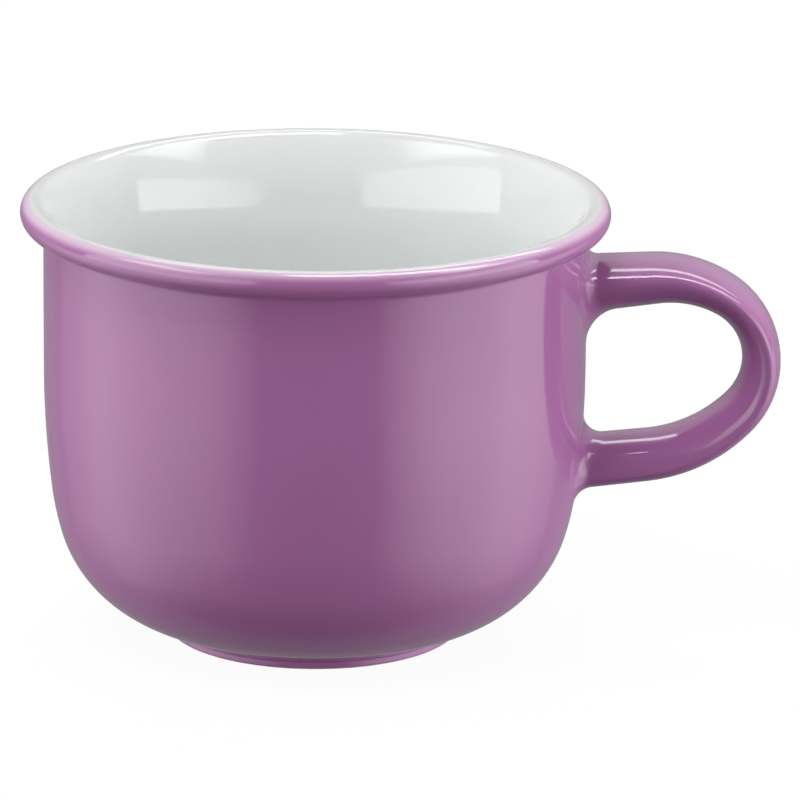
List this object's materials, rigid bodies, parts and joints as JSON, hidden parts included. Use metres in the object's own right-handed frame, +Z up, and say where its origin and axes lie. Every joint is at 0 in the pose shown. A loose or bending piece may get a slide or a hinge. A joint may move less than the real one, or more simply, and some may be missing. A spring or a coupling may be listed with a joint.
{
  "type": "coffee cup",
  "caption": "Round glazed ceramic coffee cup with a rolled lip, a rounded heel on a low foot ring and a loop handle, violet outside and white inside.",
  "frame": {"origin": "on the axis of the cup, in the plane of the foot ring's rim, which stands on the table", "axes": "+Z up along the axis of the cup, +X from the axis towards the handle, +Y away from the viewer of the picture"},
  "size_m": [0.1189, 0.092, 0.0698],
  "materials": {
    "biscuit": "matte",
    "slip": "matte",
    "white_glaze": "gloss",
    "violet_glaze": "gloss"
  },
  "bodies": {
    "root": {"cup_body": "biscuit", "handle": "biscuit", "upper_slip_joint": "slip", "lower_slip_joint": "slip", "inner_glaze": "white_glaze", "outer_glaze": "violet_glaze", "handle_glaze": "violet_glaze", "base_glaze": "violet_glaze"}
  },
  "joints": []
}
